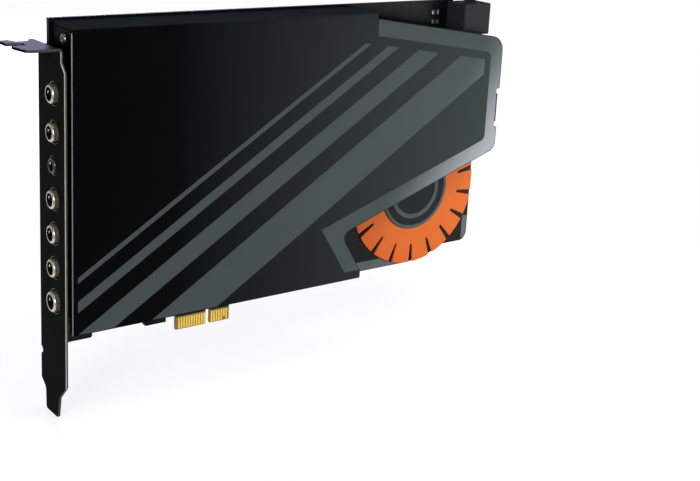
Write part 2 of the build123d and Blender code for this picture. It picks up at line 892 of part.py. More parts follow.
def make_panel_header():
    header_long = header_pairs * header_pitch
    header_z = fold_high + header_gap + header_long / 2
    base = on_board(header_x, header_z, 2 * header_pitch, header_long, header_pitch)
    pins = []
    for side in (-0.5, 0.5):
        for i in range(header_pairs):
            x = header_x + side * header_pitch
            z = header_z + (i - (header_pairs - 1) / 2) * header_pitch
            pin = on_board(x, z, header_pin, header_pin, header_pin_tall)
            base = base - pin
            pins.append(pin)
    keep("panel_header", base)
    keep("panel_header_pins", pins)


make_board()
make_edge_contacts()
make_bracket()
make_screws()
make_standoffs()
make_cover()
make_jacks()
make_trim()
make_power()
make_chips()
make_op_amps()
make_capacitors()
make_supply()
make_chip_parts()
make_panel_header()
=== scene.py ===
import bpy
import json
import math
from mathutils import Matrix, Vector


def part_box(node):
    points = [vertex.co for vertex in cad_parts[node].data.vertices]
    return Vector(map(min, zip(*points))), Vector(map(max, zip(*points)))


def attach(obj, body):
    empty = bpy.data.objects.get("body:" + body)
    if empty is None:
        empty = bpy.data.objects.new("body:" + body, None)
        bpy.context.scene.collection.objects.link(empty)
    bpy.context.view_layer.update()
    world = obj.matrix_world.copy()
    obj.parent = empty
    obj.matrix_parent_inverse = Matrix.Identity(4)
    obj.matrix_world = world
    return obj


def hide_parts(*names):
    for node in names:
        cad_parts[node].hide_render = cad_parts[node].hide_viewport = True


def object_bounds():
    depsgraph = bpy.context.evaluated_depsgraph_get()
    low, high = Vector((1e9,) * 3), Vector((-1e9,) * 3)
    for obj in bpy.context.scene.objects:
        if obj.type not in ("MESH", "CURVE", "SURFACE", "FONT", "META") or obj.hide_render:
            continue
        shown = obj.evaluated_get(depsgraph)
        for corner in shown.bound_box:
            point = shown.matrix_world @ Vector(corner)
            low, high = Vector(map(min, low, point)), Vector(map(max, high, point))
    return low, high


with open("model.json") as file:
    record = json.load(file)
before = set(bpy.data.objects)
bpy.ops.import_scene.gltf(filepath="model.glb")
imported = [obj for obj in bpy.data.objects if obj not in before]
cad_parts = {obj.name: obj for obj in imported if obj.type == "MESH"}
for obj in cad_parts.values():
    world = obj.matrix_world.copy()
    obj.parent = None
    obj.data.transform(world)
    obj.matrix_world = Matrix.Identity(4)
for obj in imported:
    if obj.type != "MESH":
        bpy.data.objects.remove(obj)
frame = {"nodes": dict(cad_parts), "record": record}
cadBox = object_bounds()
mm = 0.001
quarter = math.radians(90)
print("card frame loaded:", len(frame["nodes"]), "nodes")


def linear(text):  # sRGB hex to linear
    parts = [int(text[i:i + 2], 16) / 255 for i in (1, 3, 5)]
    parts = [c / 12.92 if c <= 0.04045 else ((c + 0.055) / 1.055) ** 2.4 for c in parts]
    return (*parts, 1.0)


def setInputs(tree, spot, inputs):  # links a node's first output or a chosen one, and sets plain values
    for key, value in inputs.items():
        if isinstance(value, bpy.types.Node):
            value = value.outputs[0]
        if isinstance(value, bpy.types.NodeSocket):
            tree.links.new(value, spot.inputs[key])
        else:
            spot.inputs[key].default_value = value


def put(tree, kind, inputs=None, **settings):  # adds a node with its settings and links
    spot = tree.nodes.new(kind)
    for key, value in settings.items():
        setattr(spot, key, value)
    setInputs(tree, spot, inputs or {})
    return spot


def startMaterial(name):
    made = bpy.data.materials.new(name)
    made.use_nodes = True
    tree = made.node_tree
    return made, tree, tree.nodes["Principled BSDF"]


# Finishes that differ in colour, gloss and grain only. Sizes are in mm.
finishes = {
    # satin powder coat on steel sheet: black, with a painted sheen that pales it to charcoal away from the
    # bracket, where the lamp at the right would light it; fine orange-peel
    "cover_paint": dict(name="satinBlackCoatPaintedSheen", dark="#020203", light="#040405", far="#313839",
                        along=(1, 0, 0), reach=(-22, 118), fall="LINEAR", patch=18,
                        rough=(0.44, 0.54), grain=0.55, relief=0.014, specular=0.03),
    # the same coat along the left fold, with a painted highlight: pale grey where the fold would catch the
    # lamp
    "cover_fold_painted_highlight": dict(name="foldPaintedHighlight", dark="#6e6f6f", light="#8a8b8b", patch=6,
                       rough=(0.30, 0.40), grain=0.45, relief=0.006, specular=0.3),
    # the same coat on the top flange, with a painted sheen: slate grey standing in for the light from above,
    # and no specular
    "cover_top_painted_sheen": dict(name="topFlangePaintedSheen", dark="#171b1f", light="#20252a", patch=10,
                      rough=(0.60, 0.70), grain=0.45, relief=0.012, specular=0.0),
    # screen-printed grey ink: a touch glossier than the coat below it, with a painted sheen that pales it
    # towards the lower right corner
    "cover_print": dict(name="greyScreenInkPaintedSheen", dark="#3b4243", light="#434a4b", far="#989da0",
                        along=(1, 0, -0.75), reach=(34.75, 82.75), fall="SMOOTHSTEP", patch=22,
                        rough=(0.44, 0.54), grain=0.45, relief=0.008, specular=0.045),
    # textured black coat on the folded steel bracket: coarser grain, duller
    "bracket_paint": dict(name="texturedBlackCoat", dark="#080909", light="#101111", patch=6,
                          rough=(0.55, 0.68), grain=0.40, relief=0.020, specular=0.008),
    # rolled rim of the bracket's sheet, with a painted highlight: pale grey where the edge would catch the
    # light
    "bracket_edge": dict(name="bracketRimPaintedHighlight", dark="#8f8d84", light="#b4b1a6", patch=2.5,
                         rough=(0.40, 0.55), grain=0.15, relief=0.006, metallic=0.3),
    # sheared edge of the same sheet, thinly coated, so the steel's grey shows
    "bracket_cut": dict(name="shearedSteelEdge", dark="#333535", light="#424444", patch=2.5,
                        rough=(0.45, 0.58), grain=0.15, relief=0.008, specular=0.10),
    # hard gold over nickel on the contact fingers: deep yellow, fine scratches
    "contact_gold": dict(name="hardGoldPlating", dark="#d9ab34", light="#fadf7c", patch=1.4,
                         rough=(0.22, 0.34), grain=0.10, relief=0.003, metallic=1.0),
    # pale gold flash on turned sockets: cream yellow, bright
    "sleeve_gold": dict(name="paleGoldFlash", dark="#a9a088", light="#ddd6c0", patch=1.6,
                        rough=(0.22, 0.32), grain=0.12, relief=0.003, metallic=0.9),
    # black glass-filled nylon of the small socket
    "sleeve_black": dict(name="blackNylon", dark="#101010", light="#191918", patch=2,
                         rough=(0.22, 0.32), grain=0.20, relief=0.004, specular=0.6),
    # moulded socket bodies: black PBT with a fine spark-eroded skin
    "jack_plastic": dict(name="blackPbt", dark="#070707", light="#0c0c0c", patch=3,
                         rough=(0.50, 0.62), grain=0.25, relief=0.010, specular=0.04),
    # zinc-plated steel screws: cool grey with faint patches
    "screw_steel": dict(name="zincPlatedSteel", dark="#8d8f90", light="#b4b6b6", patch=1.8,
                        rough=(0.25, 0.40), grain=0.18, relief=0.006, metallic=1.0),
    # bracket screws: black zinc with a dull sheen
    "screw_black": dict(name="blackZincSteel", dark="#0c0c0d", light="#171718", patch=1.5,
                        rough=(0.38, 0.50), grain=0.18, relief=0.006, specular=0.2),
    # small nickel-plated screw on the cover's side
    "small_screw_steel": dict(name="nickelPlatedSteel", dark="#555553", light="#868682", patch=1.2,
                              rough=(0.20, 0.32), grain=0.15, relief=0.004, metallic=1.0),
    # turned brass standoffs, nickel flashed in places
    "standoff_brass": dict(name="turnedBrass", dark="#b08d46", light="#d2b56c", patch=2.0,
                           rough=(0.24, 0.36), grain=0.20, relief=0.005, metallic=1.0),
    # tin-dipped legs and tabs: soft grey metal
    "tinned_metal": dict(name="dippedTin", dark="#9c9d9f", light="#c2c3c4", patch=0.8,
                         rough=(0.28, 0.42), grain=0.20, relief=0.006, metallic=1.0),
    # solder: bright, slightly wrinkled tin alloy
    "solder": dict(name="tinSolder", dark="#a4a6a8", light="#d2d3d4", patch=0.6,
                   rough=(0.18, 0.32), grain=0.25, relief=0.012, metallic=1.0),
    # orange enamel on the trim ring: even, satin
    "ring_orange": dict(name="orangeEnamel", dark="#c45a1d", light="#cd6526", patch=9,
                        rough=(0.38, 0.48), grain=0.30, relief=0.004, specular=0.09),
    # hub: satin black plastic
    "hub_black": dict(name="satinBlackAbs", dark="#151b1b", light="#1c2323", patch=7,
                      rough=(0.40, 0.50), grain=0.25, relief=0.006, specular=0.06),
    # hub rings: grey enamel
    "hub_grey": dict(name="greyEnamel", dark="#3c4545", light="#475050", patch=5,
                     rough=(0.36, 0.46), grain=0.20, relief=0.004, specular=0.10),
    # power inlet and header: dark grey glass-filled nylon
    "header_plastic": dict(name="darkGreyNylon", dark="#212123", light="#2a2a2c", patch=4,
                           rough=(0.38, 0.50), grain=0.22, relief=0.008, specular=0.07),
    # pins: brass with a light gold flash
    "pin_metal": dict(name="goldFlashedPin", dark="#c79f4a", light="#e4c683", patch=0.9,
                      rough=(0.22, 0.34), grain=0.12, relief=0.003, metallic=1.0),
    # chip bodies: black epoxy with a fine matt moulded skin
    "chip_epoxy": dict(name="mouldedEpoxy", dark="#151617", light="#1e1f20", patch=2.5,
                       rough=(0.50, 0.62), grain=0.16, relief=0.008, specular=0.4),
    # sockets: dark brown-black polyester
    "socket_plastic": dict(name="blackPolyester", dark="#171615", light="#21201e", patch=2.5,
                           rough=(0.42, 0.54), grain=0.18, relief=0.006, specular=0.4),
    # capacitor cans: drawn aluminium with a clear lacquer
    "can_aluminium": dict(name="drawnAluminium", dark="#a9abad", light="#cfd0d1", patch=2.2,
                          rough=(0.22, 0.34), grain=0.30, relief=0.004, metallic=1.0),
    # capacitor feet: black polyphenylene
    "base_plastic": dict(name="blackPps", dark="#121212", light="#1b1b1b", patch=2.2,
                         rough=(0.45, 0.56), grain=0.20, relief=0.006, specular=0.4),
    # film capacitors: red moulded case, glossy
    "film_case": dict(name="redMouldedCase", dark="#9c1f1c", light="#b52a24", patch=3,
                      rough=(0.22, 0.32), grain=0.30, relief=0.005, specular=0.5),
    # relays: pale grey moulded case
    "relay_case": dict(name="paleGreyPbt", dark="#b9b8b1", light="#cbcac4", patch=4,
                       rough=(0.34, 0.44), grain=0.25, relief=0.006, specular=0.5),
    # crystal cans: pressed nickel
    "crystal_can": dict(name="pressedNickel", dark="#b3b1ac", light="#d6d4cf", patch=2.5,
                        rough=(0.16, 0.28), grain=0.25, relief=0.004, metallic=1.0),
    # inductors: pressed ferrite, dull graphite grey with grit
    "ferrite": dict(name="pressedFerrite", dark="#2b2b2c", light="#3f3f40", patch=0.9,
                    rough=(0.55, 0.70), grain=0.22, relief=0.016, specular=0.4),
    # chip capacitors: fired ceramic, tan
    "chip_ceramic": dict(name="firedCeramic", dark="#8d6b45", light="#a78458", patch=0.7,
                         rough=(0.42, 0.54), grain=0.12, relief=0.004, specular=0.5),
    # chip resistors: black glaze
    "chip_resistor": dict(name="blackGlaze", dark="#121213", light="#1d1d1f", patch=0.6,
                          rough=(0.25, 0.35), grain=0.10, relief=0.002, specular=0.5),
    # cut edge of the laminate: resin and glass ends, brown-black
    "board_edge": dict(name="cutLaminateEdge", dark="#171512", light="#2a2620", patch=0.5,
                       rough=(0.55, 0.70), grain=0.12, relief=0.010, specular=0.35),
    # bare tongue between the contacts: amber resin over glass cloth
    "board_tongue": dict(name="amberGlassEpoxy", dark="#7e5814", light="#a27a2c", patch=0.7,
                         rough=(0.34, 0.46), grain=0.20, relief=0.006, specular=0.3),
    # grey marking ink on the board
    "board_ink": dict(name="greyMarkingInk", dark="#4c5151", light="#5e6363", patch=3,
                      rough=(0.45, 0.55), grain=0.25, relief=0.004, specular=0.1),
}
finishRules = {
    "patchDetail": 3.0, "grainDetail": 2.0,      # octaves of the two noises
    "noiseSpan": (0.3, 0.7),     # where most of a noise lies
    "bump": 0.6,
    "metallic": 0.0, "specular": 0.5,        # where a finish states none
}


def makeFinish(spec):
    rules = finishRules
    made, tree, shader = startMaterial(spec["name"])
    coords = put(tree, "ShaderNodeTexCoord").outputs["Object"]
    patch = put(tree, "ShaderNodeTexNoise", {"Vector": coords, "Scale": 1 / (spec["patch"] * mm),
                                             "Detail": rules["patchDetail"]})
    grain = put(tree, "ShaderNodeTexNoise", {"Vector": coords, "Scale": 1 / (spec["grain"] * mm),
                                             "Detail": rules["grainDetail"]})
    tone = put(tree, "ShaderNodeMix", {0: patch, 6: linear(spec["dark"]), 7: linear(spec["light"])},
               data_type="RGBA")
    # painted sheen: the colour pales along the card where the lamps would light it
    if "far" in spec:  # the colour changes along the card
        start, end = spec["reach"]
        along = put(tree, "ShaderNodeVectorMath", {0: coords, 1: spec["along"]}, operation="DOT_PRODUCT")
        share = put(tree, "ShaderNodeMapRange", {0: along.outputs["Value"], 1: start * mm, 2: end * mm},
                    interpolation_type=spec["fall"])
        tone = put(tree, "ShaderNodeMix", {0: share, 6: tone.outputs[2], 7: linear(spec["far"])},
                   data_type="RGBA")
    low, high = rules["noiseSpan"]
    sleek, dull = spec["rough"]
    gloss = put(tree, "ShaderNodeMapRange", {0: grain, 1: low, 2: high, 3: sleek, 4: dull})
    bump = put(tree, "ShaderNodeBump", {"Strength": rules["bump"], "Distance": spec["relief"] * mm,
                                        "Height": grain})
    setInputs(tree, shader, {"Base Color": tone.outputs[2], "Roughness": gloss, "Normal": bump,
                             "Metallic": spec.get("metallic", rules["metallic"]),
                             "Specular IOR Level": spec.get("specular", rules["specular"])})
    return made


surfaces = {slot: makeFinish(spec) for slot, spec in finishes.items()}

boardLook = {
    "mask": "#070809",       # solder mask over bare laminate
    "copper": "#0d0e10",     # solder mask over copper, a little paler
    "pad": "#3c3a33", "padShare": 0.55,      # tented via rims
    "trackPitch": 1.1,       # mm, drawn coarser than the real 0.3 so that it shows
    "trackEdge": (0.50, 0.58),       # mm, where a track begins between two lines
    "slanted": 0.5,          # fields that draw a number over this have slanted tracks
    "bundled": 0.45,         # fields that draw one under this have tracks, the others whole copper
    "fieldSize": 16.0,       # mm, size of a bundle of tracks
    "fieldEdge": (0.012, 0.020),     # bare line round it, as a share of its size
    "viaPitch": 5.5, "viaScatter": 0.8,      # mm, and how far the vias leave their grid
    "viaRim": (0.062, 0.056), "viaHole": (0.026, 0.032),     # radii as shares of the pitch
    "weave": 0.5,            # mm, grain of the gloss
    "rough": (0.28, 0.42), "specular": 0.10,
    "bump": 0.7, "relief": 0.03,         # mm
}


def makeBoardMask():
    # black solder mask: glossy lacquer over copper tracks, which stand up slightly below it
    look = boardLook
    made, tree, shader = startMaterial("blackSolderMask")
    coords = put(tree, "ShaderNodeTexCoord").outputs["Object"]
    flat = put(tree, "ShaderNodeMapping", {"Vector": coords, "Rotation": (quarter, 0, 0)})
    split = put(tree, "ShaderNodeSeparateXYZ", {0: flat}).outputs
    fields = {"Vector": flat, "Scale": 1 / (look["fieldSize"] * mm)}
    field = put(tree, "ShaderNodeTexVoronoi", fields, voronoi_dimensions="2D", distance="CHEBYCHEV")
    drawn = put(tree, "ShaderNodeSeparateColor", {0: field.outputs["Color"]}).outputs
    slant = put(tree, "ShaderNodeMath", {0: split[0], 1: split[1]}, operation="ADD")
    turned = put(tree, "ShaderNodeMath", {0: drawn[0], 1: look["slanted"]}, operation="GREATER_THAN")
    across = put(tree, "ShaderNodeMix", {0: turned, 2: split[1], 3: slant}, data_type="FLOAT")
    tracks = put(tree, "ShaderNodeMath", {0: across, 1: look["trackPitch"] * mm}, operation="PINGPONG")
    low, high = look["trackEdge"]
    lines = put(tree, "ShaderNodeMapRange", {0: tracks, 1: low * mm, 2: high * mm})
    bundle = put(tree, "ShaderNodeMath", {0: drawn[1], 1: look["bundled"]}, operation="LESS_THAN")
    copper = put(tree, "ShaderNodeMix", {0: bundle, 2: 1.0, 3: lines}, data_type="FLOAT")
    border = put(tree, "ShaderNodeTexVoronoi", fields, voronoi_dimensions="2D", feature="DISTANCE_TO_EDGE")
    low, high = look["fieldEdge"]
    inside = put(tree, "ShaderNodeMapRange", {0: border, 1: low, 2: high})
    raised = put(tree, "ShaderNodeMath", {0: copper, 1: inside}, operation="MULTIPLY")
    vias = put(tree, "ShaderNodeTexVoronoi", {"Vector": flat, "Scale": 1 / (look["viaPitch"] * mm),
                                              "Randomness": look["viaScatter"]}, voronoi_dimensions="2D")
    low, high = look["viaRim"]
    rim = put(tree, "ShaderNodeMapRange", {0: vias.outputs["Distance"], 1: low, 2: high})
    low, high = look["viaHole"]
    hole = put(tree, "ShaderNodeMapRange", {0: vias.outputs["Distance"], 1: low, 2: high})
    ring = put(tree, "ShaderNodeMath", {0: rim, 1: hole}, operation="MULTIPLY")
    base = put(tree, "ShaderNodeMix", {0: raised, 6: linear(look["mask"]), 7: linear(look["copper"])},
               data_type="RGBA")
    faint = put(tree, "ShaderNodeMath", {0: ring, 1: look["padShare"]}, operation="MULTIPLY")
    tone = put(tree, "ShaderNodeMix", {0: faint, 6: base.outputs[2], 7: linear(look["pad"])},
               data_type="RGBA")
    height = put(tree, "ShaderNodeMath", {0: raised, 1: ring}, operation="MAXIMUM")
    bump = put(tree, "ShaderNodeBump", {"Strength": look["bump"], "Distance": look["relief"] * mm,
                                        "Height": height})
    weave = put(tree, "ShaderNodeTexNoise", {"Vector": flat, "Scale": 1 / (look["weave"] * mm)})
    low, high = finishRules["noiseSpan"]
    sleek, dull = look["rough"]
    gloss = put(tree, "ShaderNodeMapRange", {0: weave, 1: low, 2: high, 3: sleek, 4: dull})
    setInputs(tree, shader, {"Base Color": tone.outputs[2], "Roughness": gloss, "Normal": bump,
                             "Specular IOR Level": look["specular"]})
    return made


surfaces["board_laminate"] = makeBoardMask()
print("finishes made:", len(surfaces))

meshRules = {
    "weld": 0.002,           # mm, points nearer than this become one
    "near": 0.01,            # mm, as good as touching
    "flatAngle": 0.4,        # degrees, faces within this become one
    "easeAngle": 30, "easeSteps": 2,     # edges over this angle are eased
    "smoothAngle": 35,       # degrees, edges over this stay crisp
    "roundAngle": 50,        # the same for small round things
    "flatWeight": 90,        # large faces stay flat beside eased edges
    "facing": 0.9,           # a normal over this faces along an axis
    "cutDepth": 1.0,         # mm, of bodies that cut through ink
}


def deselectAll():
    if bpy.context.object and bpy.context.object.mode != "OBJECT":
        bpy.ops.object.mode_set(mode="OBJECT")
    bpy.ops.object.select_all(action="DESELECT")


def activate(piece):
    deselectAll()
    piece.select_set(True)
    bpy.context.view_layer.objects.active = piece


def editPiece(piece, mode, action):
    activate(piece)
    bpy.ops.object.mode_set(mode="EDIT")
    bpy.ops.mesh.select_mode(type=mode)
    bpy.ops.mesh.select_all(action=action)


def editAll(piece):
    editPiece(piece, "FACE", "SELECT")


def leaveEdit():
    bpy.ops.object.mode_set(mode="OBJECT")


def useModifier(piece, kind, **settings):
    activate(piece)
    change = piece.modifiers.new(kind.lower(), kind)
    for key, value in settings.items():
        setattr(change, key, value)
    bpy.ops.object.modifier_apply(modifier=change.name)


def addPiece(add, scale=(1, 1, 1), **settings):  # a simple body, with its place and scale kept in its mesh
    deselectAll()
    add(**settings)
    piece = bpy.context.object
    piece.scale = scale
    activate(piece)
    bpy.ops.object.transform_apply(location=True, rotation=True, scale=True)
    return piece


def smooth(piece, angle=meshRules["smoothAngle"]):
    activate(piece)
    bpy.ops.object.shade_smooth_by_angle(angle=math.radians(angle))


def joinPieces(pieces):
    deselectAll()
    for piece in pieces:
        piece.select_set(True)
    bpy.context.view_layer.objects.active = pieces[0]
    if len(pieces) > 1:
        bpy.ops.object.join()
    return pieces[0]


def removePieces(pieces):
    for piece in pieces:
        bpy.data.objects.remove(piece)


def copyOf(piece, shift):
    made = piece.copy()
    made.data = piece.data.copy()
    bpy.context.scene.collection.objects.link(made)
    made.data.transform(Matrix.Translation(Vector(shift)))
    return made


def finishPiece(piece, name, slot, *coats, stands=()):
    piece.name = name
    piece.data.materials.clear()
    for coat in coats or (slot,):
        piece.data.materials.append(surfaces[coat])
    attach(piece, "root")
    if stands:
        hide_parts(*stands)
    return piece


def mergeFaces(piece, weld):  # joins triangles to whole faces
    editAll(piece)
    bpy.ops.mesh.remove_doubles(threshold=weld * mm)
    bpy.ops.mesh.dissolve_limited(angle_limit=math.radians(meshRules["flatAngle"]))
    leaveEdit()


def mergedCopy(node):  # a copy of a CAD node with whole faces
    piece = bpy.data.objects.new(node + "Dressed", frame["nodes"][node].data.copy())
    bpy.context.scene.collection.objects.link(piece)
    mergeFaces(piece, meshRules["weld"])
    return piece


def dressNode(node, width):  # its edges eased by width mm
    piece = mergedCopy(node)
    useModifier(piece, "BEVEL", width=width * mm, segments=meshRules["easeSteps"], limit_method="ANGLE",
                angle_limit=math.radians(meshRules["easeAngle"]), use_clamp_overlap=True)
    smooth(piece)
    useModifier(piece, "WEIGHTED_NORMAL", weight=meshRules["flatWeight"], keep_sharp=True)
    return piece


def pickFaces(piece, test):  # selects faces by place or normal and stays in edit mode
    editPiece(piece, "FACE", "DESELECT")
    leaveEdit()
    for face in piece.data.polygons:
        face.select = test(face)
    bpy.ops.object.mode_set(mode="EDIT")


def pickEdges(piece, test):  # the same for edges, by their two ends in mm
    editPiece(piece, "EDGE", "DESELECT")
    leaveEdit()
    for edge in piece.data.edges:
        first, second = (piece.data.vertices[i].co / mm for i in edge.vertices)
        edge.select = test(first, second)
    bpy.ops.object.mode_set(mode="EDIT")


def drawOut(*move):  # extrudes what is selected, mm
    bpy.ops.mesh.extrude_region_move(TRANSFORM_OT_translate={"value": tuple(step * mm for step in move)})


def sliceAll(piece, point, normal, close=False, **clear):  # cuts through the whole piece at a plane, mm
    editPiece(piece, "EDGE", "SELECT")
    bpy.ops.mesh.bisect(plane_co=Vector(point) * mm, plane_no=normal, **clear)
    if close:
        bpy.ops.mesh.edge_face_add()
    leaveEdit()


def easeAll(piece, width, steps):  # eases every edge of a simple body
    editAll(piece)
    bpy.ops.mesh.bevel(offset=width * mm, segments=steps)
    leaveEdit()


def cutAway(piece, cutter):
    useModifier(piece, "BOOLEAN", object=cutter, operation="DIFFERENCE", solver="EXACT")
    removePieces([cutter])


def boxOf(piece):  # lowest and highest corner, mm
    spots = [v.co / mm for v in piece.data.vertices]
    low = Vector([min(spot[i] for spot in spots) for i in range(3)])
    high = Vector([max(spot[i] for spot in spots) for i in range(3)])
    return low, high


def looseParts(node):  # the separate solids of a node, as pieces
    piece = mergedCopy(node)
    editAll(piece)
    bpy.ops.mesh.separate(type="LOOSE")
    leaveEdit()
    return sorted(bpy.context.selected_objects, key=lambda part: tuple(boxOf(part)[0]))


def solidBoxes(node):  # their boxes only
    parts = looseParts(node)
    boxes = [boxOf(part) for part in parts]
    removePieces(parts)
    return boxes


def middleOf(low, high):  # middle of a box in X and Z, to 0.1 mm
    return round((low.x + high.x) / 2, 1), round((low.z + high.z) / 2, 1)


def coatFaces(piece, index, test):  # gives the faces that pass a test another coat
    for face in piece.data.polygons:
        if test(face):
            face.material_index = index


# Plain nodes with eased edges: width in mm
easedNodes = {
    "bracket_screws": 0.12, "cover_screws": 0.12, "side_screw": 0.08, "cover_standoffs": 0.12,
    "side_block": 0.15, "jack_housings": 0.2, "trim_ring": 0.10, "hub_disc": 0.10, "hub_rings": 0.10,
    "power_header": 0.22, "power_pins": 0.12, "audio_processor": 0.15, "bus_bridge": 0.15,
    "converter_chip": 0.15, "headphone_amplifier": 0.18, "op_amps": 0.3, "op_amp_sockets": 0.15,
    "capacitor_bases": 0.25, "film_capacitors": 0.35, "relays": 0.4, "oscillators": 0.5,
    "regulators": 0.2, "regulator_tabs": 0.06, "inductors": 0.3, "panel_header": 0.12,
    "panel_header_pins": 0.12, "small_jack_sleeve": 0.12, "jack_sleeves": 0.14, "jack_terminals": 0.05,
    "chip_capacitors": 0.08, "chip_resistors": 0.06,
}
plainNodes = ("edge_contacts", "chip_leads")
otherCoats = {"bracket_screws": "screw_black"}
slotOf = {part["node"]: part["material_slot"] for part in frame["record"]["subparts"]}
for node, width in easedNodes.items():
    finishPiece(dressNode(node, width), node.title().replace("_", ""), slotOf[node],
                otherCoats.get(node, slotOf[node]), stands=[node])
for node in plainNodes:
    plain = frame["nodes"][node]
    plain.data.materials.clear()
    plain.data.materials.append(surfaces[slotOf[node]])
print("eased pieces:", len(easedNodes))


# Folded sheet cover: a painted highlight along the left fold and a painted sheen on the top flange
coverLook = {
    "ease": 0.10,            # mm
    "foldNormal": (-0.92, -0.72), "foldFront": -0.3,     # normals of the fold along X and Y
    "foldRight": -55,        # mm, the fold lies left of here
    "topNormal": 0.6,
    "topLevel": 107,         # mm, the top flange lies above
}


def makeCover():
    look = coverLook
    piece = finishPiece(dressNode("cover", look["ease"]), "FoldedCover", "cover_paint",
                        "cover_paint", "cover_fold_painted_highlight", "cover_top_painted_sheen", stands=["cover"])
    steep, slight = look["foldNormal"]
    # painted highlight along the left fold
    coatFaces(piece, 1, lambda face: steep < face.normal.x < slight and face.normal.y < look["foldFront"]
              and face.center.x < look["foldRight"] * mm)
    # painted sheen on the top flange
    coatFaces(piece, 2, lambda face: face.normal.z > look["topNormal"]
              and face.center.z > look["topLevel"] * mm)


makeCover()
print("cover dressed")


# Bracket: sheared front edge, with a painted highlight along its outer side and round the socket holes
bracketLook = {
    "ease": 0.10,            # mm
    "rim": 0.34, "rimThick": 0.016,      # mm, ribbon that carries the painted highlight
    "outer": -60.2, "outerNear": 0.05,       # mm, outer face, and how near to it an edge must be
    "front": -12.2,          # mm, edges before this take the rim
    "cutNormal": -0.5, "cutLeft": -58.9,     # front faces left of here are sheared
    "holeNormal": (-0.98, -0.15), "holeLeft": -60.0,     # eased edges on the outer face
    "holeAcross": (-12.1, -4.0), "holeUp": (15, 95),     # mm, Y and Z of the field with the holes
}


def makeBracket():
    look = bracketLook
    piece = finishPiece(dressNode("bracket", look["ease"]), "SlotBracket", "bracket_paint",
                        "bracket_paint", "bracket_cut", "bracket_edge", stands=["bracket"])
    steep, slight = look["holeNormal"]
    front, back = (place * mm for place in look["holeAcross"])
    low, high = (place * mm for place in look["holeUp"])
    coatFaces(piece, 1, lambda face: face.normal.y < look["cutNormal"]
              and face.center.x < look["cutLeft"] * mm)
    # painted highlight on the eased edges round the socket holes
    coatFaces(piece, 2, lambda face: steep < face.normal.x < slight and face.center.x < look["holeLeft"] * mm
              and front < face.center.y < back and low < face.center.z < high)


def makeRim():
    # the outer front edges, lifted off a copy and drawn out to a ribbon on the sheared face, which carries a
    # painted highlight
    look = bracketLook
    outer = look["outer"]
    source = mergedCopy("bracket")
    pickEdges(source, lambda a, b: max(abs(a.x - outer), abs(b.x - outer)) < look["outerNear"]
              and max(a.y, b.y) < look["front"])
    bpy.ops.mesh.duplicate()
    bpy.ops.mesh.separate(type="SELECTED")
    leaveEdit()
    rim = next(piece for piece in bpy.context.selected_objects if piece != source)
    removePieces([source])
    editPiece(rim, "EDGE", "SELECT")
    drawOut(look["rim"], 0, 0)
    leaveEdit()
    useModifier(rim, "SOLIDIFY", thickness=look["rimThick"] * mm, offset=0)
    finishPiece(rim, "BracketRimHighlight", "bracket_paint", "bracket_edge")


makeRim()
makeBracket()
print("bracket dressed")


# Board: amber tongue between the contacts, grey ink at two corners
boardMarks = {
    "ease": 0.06,            # mm
    "maskLevel": 4.9,        # mm, the solder mask ends here on the tongue
    "tongue": (-13.0, 9.0),      # mm
    "edgeNormal": 0.5,       # faces less turned to Y than this are cut edges
    "ink": 0.03,             # mm
    "strip": (65.0, 8.1, 89.0, 11.6),        # left, low, right, high
    "cornerBar": (117.2, 13.6, 119.6, 23.0),
    "cornerRound": 2.2, "cornerSteps": 6,        # mm
    "ring": (90.5, 37.7, 29.9), "ringSteps": 128,        # the strip stops at the ring
}
boardFront, boardBack = (corner[1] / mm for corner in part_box("board"))


def makeBoard():
    look = boardMarks
    piece = dressNode("board", look["ease"])
    sliceAll(piece, (0, 0, look["maskLevel"]), (0, 0, 1))
    finishPiece(piece, "CircuitBoard", "board_laminate", "board_laminate", "board_edge", "board_tongue",
                stands=["board"])
    left, right = look["tongue"]
    coatFaces(piece, 1, lambda face: abs(face.normal.y) < look["edgeNormal"])
    coatFaces(piece, 2, lambda face: face.center.z < look["maskLevel"] * mm
              and left < face.center.x / mm < right)


def inkField(left, low, right, high):
    place = Vector(((left + right) / 2, boardFront, (low + high) / 2)) * mm
    field = addPiece(bpy.ops.mesh.primitive_plane_add, ((right - left) * mm, (high - low) * mm, 1), size=1,
                     location=place, rotation=(quarter, 0, 0))
    useModifier(field, "SOLIDIFY", thickness=boardMarks["ink"] * mm, offset=1)
    return field


def makeBoardInk():
    look = boardMarks
    strip = inkField(*look["strip"])
    x, z, radius = look["ring"]
    cutter = addPiece(bpy.ops.mesh.primitive_cylinder_add, vertices=look["ringSteps"], radius=radius * mm,
                      depth=meshRules["cutDepth"] * mm, location=Vector((x, boardFront, z)) * mm,
                      rotation=(quarter, 0, 0))
    cutAway(strip, cutter)
    bar = inkField(*look["cornerBar"])
    low, right = look["cornerBar"][1:3]
    pickEdges(bar, lambda a, b: min(a.x, b.x) > right - meshRules["near"]
              and max(a.z, b.z) < low + meshRules["near"])
    bpy.ops.mesh.bevel(offset=look["cornerRound"] * mm, segments=look["cornerSteps"])
    leaveEdit()
    finishPiece(joinPieces([strip, bar]), "BoardInk", "board_laminate", "board_ink")


makeBoard()
makeBoardInk()
print("board dressed")


# Lining of each socket's bore: black, with a bright spring tip just inside the mouth
liningLook = {
    "radius": 1.79,          # mm, just inside the bore
    "wall": 0.035,
    "length": 12.8,
    "steps": 48,
    "brim": 2.22, "wideBrim": 2.50,      # mm, radius of the black ring round the mouth
    "wideSocket": "socket_one", "smallSocket": "socket_five",
    "tip": (0.75, 1.62, 0.25),       # mm, behind the mouth, off the axis, above it
    "tipSize": (0.42, 0.30, 0.62), "tipSteps": (16, 10),
    "tipInset": 0.02,        # mm, the tip ends this far inside the lining
}


